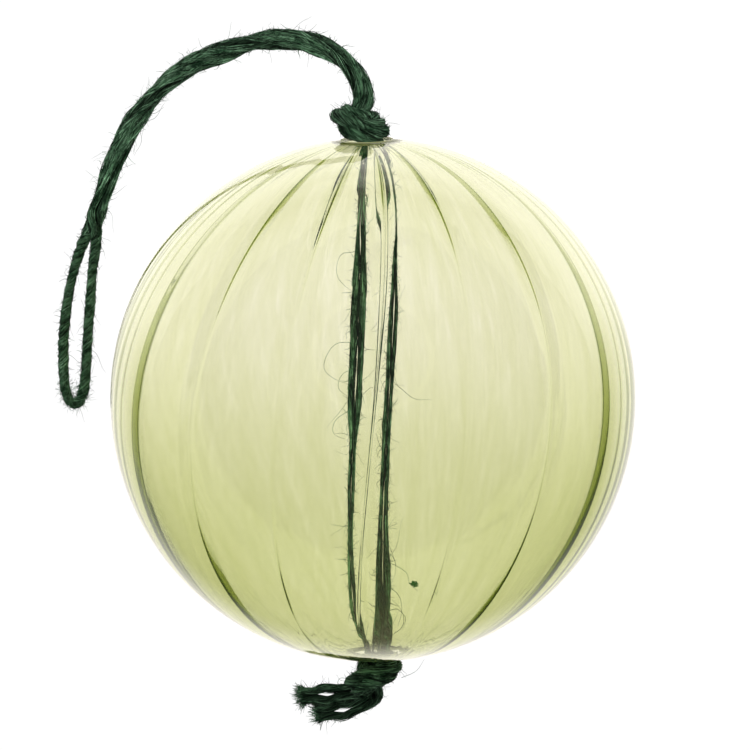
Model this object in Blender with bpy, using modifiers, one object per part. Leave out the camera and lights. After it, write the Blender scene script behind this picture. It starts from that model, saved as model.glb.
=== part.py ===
"""A mouth-blown, ribbed glass orb threaded on one doubled jute twine, lying on its side.

Metres, +Z up. The origin is the middle of the small flat spot that the orb rests on. +Y runs along the
orb's pole axis, from the tail end to the hanging loop, and the loop lies on the table on the -X side.
"""

import math

import bmesh
import bpy
from mathutils import Matrix, Vector

MM = 0.001

# The glass: a thin sphere with a hole at each pole and lobes that meet in sharp creases.
ORB_RADIUS = 60 * MM
WALL = 1.9 * MM
HOLE_RADIUS = 6 * MM
REST_HEIGHT = 58.8 * MM  # height of the pole axis: the flat spot is cut to this depth
LOBES = 18
LOBE_DEPTH = 0.4 * MM  # how far a crease lies below the crest of its lobes
CREASE_TURN = math.radians(-0.7)  # where the middle crease crosses the equator
CREASE_SPREAD = math.radians(2.0)  # the lobes are a little wider on top than at the sides
CREASE_TWIST = -0.12  # degrees that a crease turns for each degree from pole to pole
CREASE_FADE = math.radians(14)  # the lobes run out over this much arc beside a hole
SEGMENTS_PER_LOBE = 4
RINGS = 20

# The twine: one length, folded double. The loop comes out of the top knot, two strands run through the
# orb, and the two ends leave the bottom knot.
TWINE = 2.4 * MM
TAIL = 3.2 * MM  # the ends are untwisted, so they are fatter
LEG_SPREAD = 1.4 * MM  # from the middle of the doubled stem to each of its legs
STEM_TURNS = 1.5
STEM_START = math.radians(20)
TUBE_STEP = 5 * MM
TUBE_RESOLUTION = 2

# An overhand knot, tied in both strands at once. Half of its route round the knot's own axis, from the
# middle to the way out: turn in degrees, distance from the axis and height, both in widths of the doubled
# strand. The other half is the same, turned half a turn about the middle.
KNOT_HALF = [
    (0, 0.80, 0.00),
    (54, 1.08, -0.40),
    (98, 1.20, -0.85),
    (145, 1.15, -0.95),
    (192, 1.00, -0.50),
    (232, 0.60, 0.15),
    (270, 0.20, 1.00),
]
KNOT_STRAND = 2.3 * MM  # the strands are pulled tight here
KNOT_SPREAD = 1.0 * MM
KNOT_VOXEL = 0.9 * MM
# Where each knot sits, how wide its doubled strand is along X, Y and Z, and how it is turned about Y.
TOP_KNOT = {"centre": (-1.0, 63.5, 56.6), "widths": (3.9, 2.0, 3.5), "roll": 152}
BOTTOM_KNOT = {"centre": (-1.3, -65.0, 55.8), "widths": (3.9, 3.1, 3.5), "roll": 8}

# Routes in millimetres, chosen by hand: the middle of the doubled stem, then one strand round the eye.
STEM = [
    (-0.6, 66.75, 56.4),
    (-1.0, 72.0, 55.8),
    (-5.4, 77.7, 52.0),
    (-14.2, 81.1, 45.0),
    (-23.6, 80.6, 37.0),
    (-32.9, 77.5, 29.0),
    (-41.9, 73.0, 21.0),
    (-49.0, 67.0, 14.0),
    (-55.2, 59.2, 8.5),
    (-59.6, 51.5, 5.0),
    (-62.9, 43.2, 3.4),
    (-65.2, 36.5, 2.9),
]
EYE = [
    (-68.6, 30.0, 1.5),
    (-71.2, 23.0, 1.3),
    (-73.2, 14.5, 1.3),
    (-74.3, 6.0, 1.3),
    (-74.5, -1.5, 1.3),
    (-74.2, -6.6, 1.3),
    (-72.4, -10.0, 1.3),
    (-70.2, -7.4, 1.3),
    (-69.2, -1.5, 1.3),
    (-68.5, 6.0, 1.3),
    (-67.6, 14.5, 1.3),
    (-66.7, 23.0, 1.3),
    (-65.6, 30.0, 1.5),
]
LEFT_STRAND = [
    (-0.4, 60.8, 56.0),
    (-0.9, 50.0, 55.1),
    (-1.9, 34.0, 54.4),
    (-3.0, 15.5, 53.9),
    (-4.4, -8.0, 53.7),
    (-5.4, -24.0, 53.9),
    (-5.9, -38.0, 54.3),
    (-5.3, -50.0, 55.0),
    (-2.9, -57.4, 56.5),
    (-2.4, -61.2, 56.8),
]
RIGHT_STRAND = [
    (3.0, 59.8, 57.6),
    (4.7, 50.0, 57.0),
    (5.2, 35.0, 56.4),
    (4.9, 21.0, 55.8),
    (3.6, 4.0, 55.2),
    (2.4, -13.0, 55.0),
    (1.5, -34.0, 55.0),
    (1.1, -52.0, 55.3),
    (0.6, -60.4, 55.7),
]
UPPER_TAIL = [(-6.6, -69.7, 53.4), (-9.4, -70.3, 52.2), (-13.6, -71.3, 49.8), (-18.6, -72.4, 46.2)]
LOWER_TAIL = [(-1.5, -71.05, 53.3), (-5.4, -73.6, 52.0), (-9.8, -75.4, 49.4), (-14.8, -76.6, 45.6)]


def clear_scene():
    for thing in list(bpy.data.objects):
        bpy.data.objects.remove(thing, do_unlink=True)


def collection(name):
    made = bpy.data.collections.new(name)
    bpy.context.scene.collection.children.link(made)
    return made


def material(name, colour, roughness, transmission=0.0):
    made = bpy.data.materials.new(name)
    made.use_nodes = True
    shader = made.node_tree.nodes["Principled BSDF"]
    shader.inputs["Base Color"].default_value = (*colour, 1)
    shader.inputs["Roughness"].default_value = roughness
    shader.inputs["Metallic"].default_value = 0
    shader.inputs["Transmission Weight"].default_value = transmission
    return made


def millimetres(points):
    return [Vector(p) * MM for p in points]


# Smooth routes


def through(points, step):
    """Points about step apart along a smooth curve through the given ones."""
    ends = [2 * points[0] - points[1]] + points + [2 * points[-1] - points[-2]]
    fine = []
    for a, b, c, d in zip(ends, ends[1:], ends[2:], ends[3:]):
        for i in range(16):
            t = i / 16
            fine.append(
                b
                + (c - a) * t / 2
                + (2 * a - 5 * b + 4 * c - d) * t**2 / 2
                + (3 * b - a - 3 * c + d) * t**3 / 2
            )
    fine.append(points[-1])
    return respaced(fine, step)


def respaced(points, step):
    """The same line with evenly spaced points."""
    lengths = [(b - a).length for a, b in zip(points, points[1:])]
    count = max(2, round(sum(lengths) / step))
    gap = sum(lengths) / count
    made, walked, i = [points[0].copy()], 0.0, 0
    for k in range(1, count):
        while walked + lengths[i] < k * gap:
            walked += lengths[i]
            i += 1
        made.append(points[i].lerp(points[i + 1], (k * gap - walked) / lengths[i]))
    return made + [points[-1].copy()]


def pair_along(route, spread, start, turns):
    """Two lines beside a route, one on each side of it, that wind round it together."""
    side = Vector((0, 0, 1)).cross(route[1] - route[0]).normalized()
    lines = [], []
    for i, point in enumerate(route):
        along = (route[min(i + 1, len(route) - 1)] - route[max(i - 1, 0)]).normalized()
        side = (side - side.dot(along) * along).normalized()
        turned = Matrix.Rotation(start + turns * math.tau * i / (len(route) - 1), 3, along) @ side
        lines[0].append(point + turned * spread)
        lines[1].append(point - turned * spread)
    return lines


def loop_route():
    """From the knot out along one leg of the stem, round the eye and back along the other leg."""
    stem = through(millimetres(STEM), 4 * MM)
    out, back = pair_along(stem, LEG_SPREAD, STEM_START, STEM_TURNS)
    return through(out + millimetres(EYE) + back[::-1], TUBE_STEP)


def knot_route(centre, widths, roll):
    """The middle of the doubled strands, through an overhand knot whose axis is along Y."""
    half = []
    for turn, distance, rise in KNOT_HALF:
        angle = math.radians(turn)
        half.append(Vector((-distance * math.sin(angle), rise, distance * math.cos(angle))))
    other = [Vector((-p.x, -p.y, p.z)) for p in half[:0:-1]]
    spun = Matrix.Rotation(math.radians(roll), 3, "Y")
    size = Matrix.Diagonal(widths)
    return [(Vector(centre) + size @ spun @ p) * MM for p in other + half]


# Pieces


def shaded(thing):
    thing.data.shade_smooth()
    thing.data.set_sharp_from_angle(angle=math.radians(40))


def tube(name, points, diameter, home, finish):
    curve = bpy.data.curves.new(name, "CURVE")
    curve.dimensions = "3D"
    curve.bevel_depth = diameter / 2
    curve.bevel_resolution = TUBE_RESOLUTION
    curve.use_fill_caps = True
    spline = curve.splines.new("POLY")
    spline.points.add(len(points) - 1)
    for target, point in zip(spline.points, points):
        target.co = (*point, 1)
    spline.use_smooth = True
    curve.materials.append(finish)
    thing = bpy.data.objects.new(name, curve)
    home.objects.link(thing)
    return thing


def crease_depth(polar):
    """How deep the creases are at this angle from the top pole."""
    rim = math.asin(HOLE_RADIUS / ORB_RADIUS)
    beside = min(polar, math.pi - polar) - rim
    share = max(0.0, min(1.0, beside / CREASE_FADE))
    return LOBE_DEPTH * (0.25 + 0.75 * share * share * (3 - 2 * share))


def lobed_radius(polar, turn):
    """The outside of the glass. Turn 0 is the middle crease, which faces up."""
    bulge = abs(math.sin(LOBES / 2 * turn))
    return ORB_RADIUS - crease_depth(polar) * (1 - bulge)


def crease_azimuth(polar, turn):
    """Where the glass of this turn lies: the creases spread, and run from pole to pole in a slight spiral."""
    return turn + CREASE_TURN + CREASE_SPREAD * math.sin(turn) + CREASE_TWIST * (polar - math.pi / 2)


def glass_orb(home, cutters, finish):
    mesh = bpy.data.meshes.new("glass_orb")
    shape = bmesh.new()
    bmesh.ops.create_uvsphere(shape, u_segments=LOBES * SEGMENTS_PER_LOBE, v_segments=RINGS, radius=1)
    shape.verts.ensure_lookup_table()
    poles = [v for v in shape.verts if abs(v.co.z) > 0.99999]
    bmesh.ops.delete(shape, geom=poles, context="VERTS")
    rim = math.asin(HOLE_RADIUS / ORB_RADIUS)
    first = math.pi / RINGS
    for vert in shape.verts:
        ring = math.acos(max(-1.0, min(1.0, vert.co.z)))
        polar = rim + (ring - first) * (math.pi - 2 * rim) / (math.pi - 2 * first)
        turn = math.atan2(vert.co.x, -vert.co.y)
        azimuth = crease_azimuth(polar, turn)
        radius = lobed_radius(polar, turn)
        around = radius * math.sin(polar)
        vert.co = (around * math.sin(azimuth), -around * math.cos(azimuth), radius * math.cos(polar))
    bmesh.ops.recalc_face_normals(shape, faces=shape.faces)
    shape.to_mesh(mesh)
    shape.free()
    mesh.materials.append(finish)
    thing = bpy.data.objects.new("glass_orb", mesh)
    thing.location = (0, 0, REST_HEIGHT)
    thing.rotation_euler = (-math.pi / 2, 0, 0)
    home.objects.link(thing)
    wall = thing.modifiers.new("wall", "SOLIDIFY")
    wall.thickness = WALL
    wall.offset = -1
    wall.use_even_offset = True
    flat = thing.modifiers.new("flat_spot", "BOOLEAN")
    flat.operation = "DIFFERENCE"
    flat.solver = "EXACT"
    flat.object = flat_spot_cutter(cutters)
    shaded(thing)
    return thing


def flat_spot_cutter(home):
    """A block whose top is the table: it takes off what would bulge below it."""
    mesh = bpy.data.meshes.new("flat_spot_cutter")
    shape = bmesh.new()
    bmesh.ops.create_cube(shape, size=1)
    shape.to_mesh(mesh)
    shape.free()
    cutter = bpy.data.objects.new("flat_spot_cutter", mesh)
    cutter.scale = (ORB_RADIUS, ORB_RADIUS, ORB_RADIUS / 2)
    cutter.location = (0, 0, -ORB_RADIUS / 4)
    cutter.hide_render = True
    cutter.display_type = "WIRE"
    home.objects.link(cutter)
    return cutter


def knot(name, centre, widths, roll, home, finish):
    """Both strands through the knot, fused into one lump round a small core."""
    route = through(knot_route(centre, widths, roll), 1.5 * MM)
    shape = bmesh.new()
    for line in pair_along(route, KNOT_SPREAD, math.radians(90), 0):
        strand = tube("strand", line, KNOT_STRAND, home, finish)
        bpy.context.view_layer.update()
        drawn = bpy.data.meshes.new_from_object(strand.evaluated_get(bpy.context.evaluated_depsgraph_get()))
        shape.from_mesh(drawn)
        bpy.data.objects.remove(strand, do_unlink=True)
    core = bmesh.ops.create_uvsphere(shape, u_segments=16, v_segments=8, radius=1)["verts"]
    size = Matrix.Diagonal((*(Vector(widths) * MM), 1))
    bmesh.ops.transform(shape, matrix=Matrix.Translation(Vector(centre) * MM) @ size, verts=core)
    mesh = bpy.data.meshes.new(name)
    shape.to_mesh(mesh)
    shape.free()
    mesh.materials.append(finish)
    thing = bpy.data.objects.new(name, mesh)
    home.objects.link(thing)
    fused = thing.modifiers.new("fused", "REMESH")
    fused.mode = "VOXEL"
    fused.voxel_size = KNOT_VOXEL
    fused.use_smooth_shade = True
    return thing


def main():
    clear_scene()
    home = collection("glass_orb_ornament")
    cutters = collection("cutters")
    glass = material("green_glass", (0.78, 0.80, 0.52), 0.03, transmission=1.0)
    twine = material("green_jute", (0.03, 0.065, 0.04), 0.85)
    glass_orb(home, cutters, glass)
    tube("twine_loop", loop_route(), TWINE, home, twine)
    knot("top_knot", **TOP_KNOT, home=home, finish=twine)
    tube("strand_left", through(millimetres(LEFT_STRAND), TUBE_STEP), TWINE, home, twine)
    tube("strand_right", through(millimetres(RIGHT_STRAND), TUBE_STEP), TWINE, home, twine)
    knot("bottom_knot", **BOTTOM_KNOT, home=home, finish=twine)
    tube("tail_upper", through(millimetres(UPPER_TAIL), TUBE_STEP), TAIL, home, twine)
    tube("tail_lower", through(millimetres(LOWER_TAIL), TUBE_STEP), TAIL, home, twine)


main()
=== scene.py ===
"""The finish of the glass orb ornament: clear ribbed green glass on a hairy jute twine.

Metres, +Z up. The orb lies on its side: +Y runs along its pole axis, from the bottom hole with the two cut
ends to the top hole with the hanging loop.
"""

import math
from types import SimpleNamespace

import bpy
import numpy as np
from mathutils import Matrix, Vector

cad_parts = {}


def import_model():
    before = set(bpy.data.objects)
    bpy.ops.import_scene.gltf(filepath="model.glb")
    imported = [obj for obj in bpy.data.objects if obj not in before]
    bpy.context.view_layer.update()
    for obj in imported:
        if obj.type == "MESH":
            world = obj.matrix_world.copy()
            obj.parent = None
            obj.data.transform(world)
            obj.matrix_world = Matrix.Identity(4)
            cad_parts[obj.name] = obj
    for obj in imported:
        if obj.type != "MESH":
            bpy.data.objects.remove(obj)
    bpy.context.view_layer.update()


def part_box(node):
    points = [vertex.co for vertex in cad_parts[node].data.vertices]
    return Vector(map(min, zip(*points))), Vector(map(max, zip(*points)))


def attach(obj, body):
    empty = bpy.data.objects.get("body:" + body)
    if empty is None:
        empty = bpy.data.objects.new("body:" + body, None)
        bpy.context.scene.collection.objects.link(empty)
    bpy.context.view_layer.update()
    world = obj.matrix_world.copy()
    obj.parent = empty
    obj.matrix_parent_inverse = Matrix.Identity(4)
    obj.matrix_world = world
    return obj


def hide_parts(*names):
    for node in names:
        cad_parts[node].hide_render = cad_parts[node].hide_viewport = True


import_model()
scene = bpy.context.scene

MM = 0.001

# The orb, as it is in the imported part
orb_low, orb_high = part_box("glass_orb")
ORB_RADIUS = round((orb_high.x - orb_low.x) / 2, 3)
HOLE_RADIUS = 6 * MM
RIM = math.asin(HOLE_RADIUS / ORB_RADIUS)  # polar angle of the edge of a hole
REST_HEIGHT = 58.8 * MM  # height of the pole axis
LOBES = 18
CREASE_TWIST = -0.12  # degrees that a crease turns for each degree from pole to pole
CREASE_TURN = math.radians(-0.7)  # where the middle crease crosses the equator
CREASE_SPREAD = math.radians(2.0)  # the lobes are a little wider on top than at the sides
SIDE_SPREAD, SIDE_TURN = math.radians(4.4), math.radians(-1.5)  # the creases at the sides are less even

# The wall of the glass. It gets thicker between two heights along the pole axis.
WALL_TOP, WALL_BOTTOM = 0.86 * MM, 1.98 * MM
WALL_FROM, WALL_TO = 20 * MM, -36 * MM
WALL_THINNING = 0.6 * MM  # beside the bottom hole
FLAT_EDGE = 0.15 * MM  # how round the edge of the flat spot is
# The creases outside are shallow: most of the relief is on the inside of the wall
CREASE_DEPTH = 0.05 * MM
CREASE_SOFTNESS = 0.2
# beside a hole the relief runs out over this arc, to this share
CREASE_FADE, CREASE_LEAST = math.radians(12), 0.1
PLAIN_FILLING = 0.9  # how much of a crease is missing where the glass is plain
# A rib is a broad rise inside, under a crease, and a ridge a narrow one on top of it
RIB_HEIGHT, RIB_REACH = 0.39 * MM, 0.17  # the reach is counted in lobes
RIB_POINT, RIB_FOOT = 0.007, 0.0016  # how round a rib is on top and at its foot
RIB_MIDDLE = 0.1  # what is left of the ribs in the middle of the upper side
RIB_SHOULDER_LOSS, RIB_LOW_LOSS = 0.5, 0.6  # at the sides beside the top hole, and low in the middle
SWELL = 0.2 * MM  # the wall thins out evenly by this much from a crease to halfway between two
BACK_SWELL = 0.05 * MM  # the side that lies down is only wavy
RIDGE_SLOPE = 0.375
RIDGE_POWER, RIDGE_LEAST = 1.6, 0.07  # how soon the ridges get lower towards the sides, and down to what
RIDGE_SHARP, RIDGE_BLUNT = 0.2 * MM, 0.9 * MM  # their reach where they are narrow and where they are broad
RIDGE_FOOT = 0.02
BELLY_LOSS, BELLY_TILT = 0.5, 0.15  # how much lower they are round the equator, and less on the +X side
FOOT_LOSS = 0.6  # how much lower they are beside the bottom hole
LOW_SIDE_GAIN, LOW_SIDE_WIDENING = 0.35, 0.5  # low at the sides they are this much higher and broader
# Fine ridges between the creases near the left and right edge, at these turns in lobes
FINE_RIDGES = (3.31, 3.56, 14.46, 14.69)
FINE_HEIGHT, FINE_REACH = 0.12 * MM, 0.06
# Faint drag lines left by blowing: waves round the orb, and their height
DRAG_WAVES = (61, 83, 97, 109, 131)
DRAG_HEIGHT = 0.006 * MM
STEPS_PER_LOBE = 36
CROWDING, CROWDING_POWER = 0.65, 2.6  # how much denser the steps are towards a crease
RINGS = 74

# Zones of the orb: where each starts, and how much further on it is full
SHOULDER_ZONE = (0.8, 0.5)  # all that is not beside the top hole, by the polar angle
# Towards the bottom hole, by minus the cosine of the polar angle
LOW_ZONE = (0, 0.3)
THINNING_ZONE = (0.6, 0.4)
PLAIN_ZONE = (0.62, 0.15)
FOOT_ZONE = (0.74, 0.2)
BELLY_ZONE = (0.82, 0.15)  # round the equator, by the sine of the polar angle
# Round the axis, by the cosine of the azimuth or, for the sides, by minus that
MIDDLE_ZONE = (0.8, 0.12)
FOOT_MIDDLE_ZONE = (0.45, 0.45)
SIDE_ZONE = (-0.7, 0.25)
# By how much the glass faces up
RIB_MIDDLE_ZONE = (0.42, 0.38)
LEAST_RIDGE_ZONE = (0.15, 0.15)
FINE_ZONE = (0.1, 0.1)
FRONT_LEAST, FRONT_FULL = 0.12, 0.5

# The look of the glass
GLASS_IOR = 1.5
GLASS_TINT, TINT_DENSITY = (0.49, 0.56, 0.0, 1), 300
LAST_BOUNCE = 4.5  # rays that have met more surfaces than this go straight on
# The streaks and threads are painted light: pale lines in the glass colour for the back ribs seen through
# the front wall
STREAK_SLOWNESS = 0.12  # how slowly the streaks change from hole to hole
STREAK_SCALE, STREAK_SPREAD, STREAK_COLOUR = 15, (0.32, 0.66), (0.95, 0.955, 0.90)
THREAD_SCALE, THREAD_SPREAD, THREAD_COLOUR = 40, (0.56, 0.72), (0.962, 0.966, 0.93)
GROUND_GRAIN, GROUND_DARK, GROUND_LIGHT = 900, (0.5, 0.52, 0.2), (0.85, 0.87, 0.6)

# Light and camera
BOUNCES = 48
WHITE = (1, 1, 1, 1)
SKY, SKY_SIDE, SKY_SEEN = 0.12, 1.2, 1.3  # all round, at the -Y side through glass, and to the camera
SKY_FROM, SKY_TO = -0.4, -0.95  # it gets brighter between directions this far along Y
LAMP_SIZE, LAMP_POWER = 0.4, 6
LAMP_PLACE, LAMP_AIM = (0.5, 0.3, 0.6), (0, 0, 0.05)
EDGE_SOFTNESS = 0.45  # the share of a card over which its light falls
VIEW_LEAN, VIEW_ROLL = math.radians(10), math.radians(1.4)
VIEW_DISTANCE = 1.0
ORB_IN_VIEW = 0.350667  # the orb's radius, as a share of the view's width
VIEW_SHIFT = (0.002667, 0.032)
SENSOR = 36  # in millimetres

# The twine: one length, folded double
LEG_SPREAD = 1.0 * MM  # from the middle of the doubled stem to each of its legs
STEM_TURNS = 1.5
STEM_START = math.radians(20)
STEM_STEP = 4 * MM

# An overhand knot, tied in both strands at once. Half of its route round the knot's own axis, from the
# middle to the way out: turn in degrees, and distance from the axis and height in widths of the doubled
# strand. The other half is the same, turned half a turn about the middle.
KNOT_HALF = [
    (0, 0.80, 0.00),
    (54, 1.08, -0.40),
    (98, 1.20, -0.85),
    (145, 1.15, -0.95),
    (192, 1.00, -0.50),
    (232, 0.60, 0.15),
    (270, 0.20, 1.00),
]
KNOT_SPREAD = 1.0 * MM
KNOT_STEP = 1.5 * MM
# Where each knot sits, how wide its doubled strand is along X, Y and Z, and how it is turned about Y.
TOP_KNOT = {"centre": (-1.0, 63.5, 56.6), "widths": (3.9, 2.0, 3.5), "roll": 152}
BOTTOM_KNOT = {"centre": (-1.3, -65.0, 55.8), "widths": (3.9, 3.1, 3.5), "roll": 8}

# Routes in millimetres: the middle of the doubled stem, then one strand round the eye.
STEM = [
    (-0.6, 66.75, 56.4), (-1.0, 72.0, 55.8), (-5.4, 77.7, 52.0), (-14.2, 81.1, 45.0),
    (-23.6, 80.6, 37.0), (-32.9, 77.5, 29.0), (-41.9, 73.0, 21.0), (-49.0, 67.0, 14.0),
    (-55.2, 59.2, 8.5), (-59.6, 51.5, 5.0), (-62.9, 43.2, 3.4), (-65.2, 36.5, 2.9),
]
EYE = [
    (-68.6, 30.0, 1.5), (-71.2, 23.0, 1.3), (-73.2, 14.5, 1.3), (-74.3, 6.0, 1.3), (-74.5, -1.5, 1.3),
    (-74.2, -6.6, 1.3), (-72.4, -10.0, 1.3), (-70.2, -7.4, 1.3), (-69.2, -1.5, 1.3), (-68.5, 6.0, 1.3),
    (-67.6, 14.5, 1.3), (-66.7, 23.0, 1.3), (-65.6, 30.0, 1.5),
]
LEFT_STRAND = [
    (-0.4, 60.8, 56.0), (-0.9, 50.0, 55.1), (-1.9, 34.0, 54.4), (-3.0, 15.5, 53.9), (-4.4, -8.0, 53.7),
    (-5.4, -24.0, 53.9), (-5.9, -38.0, 54.3), (-5.3, -50.0, 55.0), (-2.9, -57.4, 56.5), (-2.4, -61.2, 56.8),
]
RIGHT_STRAND = [
    (3.0, 59.8, 57.6), (4.7, 50.0, 57.0), (5.2, 35.0, 56.4), (4.9, 21.0, 55.8), (3.6, 4.0, 55.2),
    (2.4, -13.0, 55.0), (1.5, -34.0, 55.0), (1.1, -52.0, 55.3), (0.6, -60.4, 55.7),
]
UPPER_TAIL = [(-6.6, -69.7, 53.4), (-9.4, -70.3, 52.2), (-13.6, -71.3, 49.8), (-18.6, -72.4, 46.2)]
LOWER_TAIL = [(-1.5, -71.05, 53.3), (-5.4, -73.6, 52.0), (-9.8, -75.4, 49.4), (-14.8, -76.6, 45.6)]

# How the twine is laid
STEP = 0.5 * MM
PLY_SIDES = 20
PLY_PITCH = 6.4 * MM
KNOT_PITCH = 2.2 * PLY_PITCH
HELD = ("tail", "left", "right", "stem")  # stretches whose plies do not wind round each other freely
HOLD_STEP = 0.25  # how much of the way to the wanted direction they turn at each step
# How far the two plies are from the middle of the twine, and their half thickness towards it and across
LAYS = {
    "tail": (1.0 * MM, 0.9 * MM, 0.95 * MM),
    "knot": (0.7 * MM, 0.95 * MM, 1.15 * MM),
    "stem": (0.82 * MM, 0.88 * MM, 1.0 * MM),
    "eye": (0.52 * MM, 0.66 * MM, 0.92 * MM),
}
# Inside the orb the twine lies flat, opened out: places along Y and its half width there, in millimetres
FLAT_WIDTHS = {
    "left": [
        (-60, 0.62), (-33, 0.58), (-24, 0.7), (-12, 0.85), (-6, 1.35),
        (0, 1.6), (16, 1.6), (27, 1.4), (34, 1.1), (60, 1.05),
    ],
    "right": [
        (-60, 1.85), (-52, 1.8), (-47, 1.6), (-42, 1.45), (-37, 1.2),
        (-26, 0.97), (20, 0.95), (27, 0.6), (34, 0.42), (60, 0.4),
    ],
}
FLAT_DEPTH = 0.75 * MM
# How light each stretch is: the knots and the cut ends are the darkest, with painted shade for the shadow
# deep in them
TONES_AND_SHADE = {"tail": 0.55, "knot": 0.64, "left": 1.4, "right": 1.05, "stem": 1.0, "eye": 0.78}
STEM_TONES = [(-60, 1.2), (-38, 0.87)]  # at these places along X, in millimetres
FIBRE_TWIST = 0.25 / MM  # radians that the fibres of a ply wind round it
OPENING, OPENING_PLACE, OPENING_REACH = 0.6 * MM, 7 * MM, 2.2 * MM  # the plies of a tail part here
FLARE, FLARE_REACH = 0.18, 4 * MM  # how much thicker a cut end gets, and over what length
# The twine gets thicker and thinner, and looser and tighter, by these shares over these lengths
SIZE_CHANGE, SIZE_WAVE = 0.06, 12 * MM
SPREAD_CHANGE, SPREAD_WAVE = 0.08, 20 * MM
SMOOTHING = 4  # points of the route over which its kinks are worked out
LAY_EASING, HOLD_EASING, TONE_EASING = 8, 6, 10  # and over which one stretch changes into the next
LEAST_HEIGHT = 0.02 * MM

# Loose fibres
LYING_FIBRES, SHORT_HAIRS, STRAY_HAIRS = 3800, 6500, 1500
TIP_HAIRS, BRUSH_HAIRS, FLUFF_FIBRES = 280, 230, 40  # at the loop's tip, at each end of a ply, in the ball
LOOP_TIP = -66 * MM  # the eye of the loop is beyond this along X
ROOT_DEPTH = 0.2 * MM  # how deep in its ply a hair starts
LYING_TWIST = 0.16 / MM  # radians that a lying fibre winds round its ply, at most
OUTER_SIDE = 1.9  # a hair starts within this angle of the outer side of its ply
ANY_WAY = np.array([0.31, 0.52, 0.79])  # no fibre runs just this way

# The look of the twine and its hairs: their darkest and lightest colours in sRGB
GREEN_JUTE = (4, 18, 9), (92, 132, 98)
PALE_JUTE = (36, 66, 44), (118, 158, 124)
BRIGHT_JUTE = (20, 84, 18), (48, 126, 40)
PLY_GRAIN, HAIR_GRAIN = 4.5, 300
FIBRE_RELIEF = 0.4 * MM

# Long curls off the strands inside the orb and off the bottom knot, each as points in millimetres
CURLS = [
    [
        (-4.0, 12.6, 54.6), (-8.3, 12.3, 55.0), (-10.6, 9.2, 55.4),
        (-10.9, 6.0, 55.0), (-8.6, 3.8, 54.6), (-4.6, 2.0, 54.2),
    ],
    [(-2.6, 33.6, 54.8), (-6.4, 32.9, 55.0), (-7.6, 29.6, 55.0), (-6.4, 26.2, 54.8), (-3.4, 24.0, 54.6)],
    [(4.4, 3.2, 55.6), (6.6, 1.2, 56.0), (9.6, -1.2, 56.4), (13.4, -1.4, 56.4)],
    [(1.8, -39.6, 55.4), (4.6, -40.5, 55.8), (6.8, -42.2, 55.8), (7.6, -44.6, 55.4), (9.4, -46.4, 55.0)],
    [(-5.6, -4.0, 54.2), (-8.8, -6.4, 54.6), (-9.2, -9.4, 54.8), (-6.4, -11.0, 54.4)],
    [(-3.6, 6.4, 54.2), (-6.8, 4.9, 54.6), (-7.8, 1.6, 54.8), (-5.0, -1.2, 54.4)],
    [(1.6, -56.0, 55.4), (5.0, -53.6, 55.8), (5.8, -50.4, 56.0), (3.4, -47.6, 55.8)],
    [(2.2, -37.0, 55.4), (3.8, -38.8, 55.8), (4.4, -41.6, 55.8), (3.2, -44.4, 55.6)],
    [(2.6, -45.0, 55.4), (4.6, -46.6, 55.8), (5.6, -49.6, 55.8), (4.6, -53.0, 55.6)],
    [(2.4, -50.2, 55.4), (4.2, -49.4, 55.8), (6.2, -51.0, 56.0), (5.4, -53.6, 55.6)],
    [(-6.0, -66.6, 56.0), (-9.2, -66.0, 56.0), (-9.6, -68.4, 55.4), (-6.6, -69.2, 54.6)],
    [(5.0, -66.0, 57.0), (8.4, -64.4, 57.4), (10.4, -61.6, 57.6)],
]
LINT = (8.5, -44.7, 55.4)  # a ball of fluff caught on a curl, in millimetres
LINT_RADIUS = 0.6 * MM
LINT_SHAPE = LINT_RADIUS * np.array((0.75, 0.45, 0.45))
CURL_RADIUS, CURL_TONE, CURL_POINTS = 0.065 * MM, 0.85, 22
LINT_FIBRE = 1.4 * CURL_RADIUS


def linear(r, g, b):
    """A colour given in sRGB from 0 to 255."""
    return [(c / 255 / 12.92) if c <= 10 else ((c / 255 + 0.055) / 1.055) ** 2.4 for c in (r, g, b)]


def smooth(share):
    """From 0 to 1 with a soft start and end."""
    share = np.clip(share, 0, 1)
    return share * share * (3 - 2 * share)


def rise(value, start, reach):
    """From 0 where the value is at the start to 1 a reach further on."""
    return smooth((value - start) / reach)


def soft_peak(value, foot):
    """The value where it is above 0, and nearly 0 below it. The foot says how soft the bend between is."""
    return (value + np.sqrt(value * value + foot)) / 2


def placed(name, data):
    """A new object of this mesh, light or camera."""
    thing = bpy.data.objects.new(name, data)
    scene.collection.objects.link(thing)
    return thing


def new_mesh(name, verts, faces, *materials):
    """A mesh of these points and faces."""
    mesh = bpy.data.meshes.new(name)
    mesh.from_pydata(verts, [], faces)
    mesh.update()
    for material in materials:
        mesh.materials.append(material)
    return mesh


def note(mesh, name, kind, values):
    """Write down a value for each vertex, which the material looks up by this name."""
    field = "vector" if kind == "FLOAT_VECTOR" else "value"
    mesh.attributes.new(name, kind, "POINT").data.foreach_set(field, values.astype(np.float32).ravel())


# The glass

def crease_azimuth(polar, around):
    """Where the glass lies round the axis: the creases run in a slight spiral, unevenly spread."""
    azimuth = around + CREASE_TURN + CREASE_TWIST * (polar - math.pi / 2) + CREASE_SPREAD * np.sin(around)
    return azimuth + SIDE_SPREAD * np.sin(around) ** 5 + SIDE_TURN * np.sin(around) ** 4


def crease_fade(polar):
    """How much of the relief is left: it runs out beside both holes."""
    beside = (np.minimum(polar, math.pi - polar) - RIM) / CREASE_FADE
    return CREASE_LEAST + (1 - CREASE_LEAST) * smooth(beside)


def lobe_bulge(away):
    """From 0 in a crease to 1 halfway between two, this many lobes away from the nearest."""
    across = np.sin(math.pi * away)
    soft = CREASE_SOFTNESS
    return (np.sqrt(across**2 + soft**2) - soft) / (math.sqrt(1 + soft**2) - soft)


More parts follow.
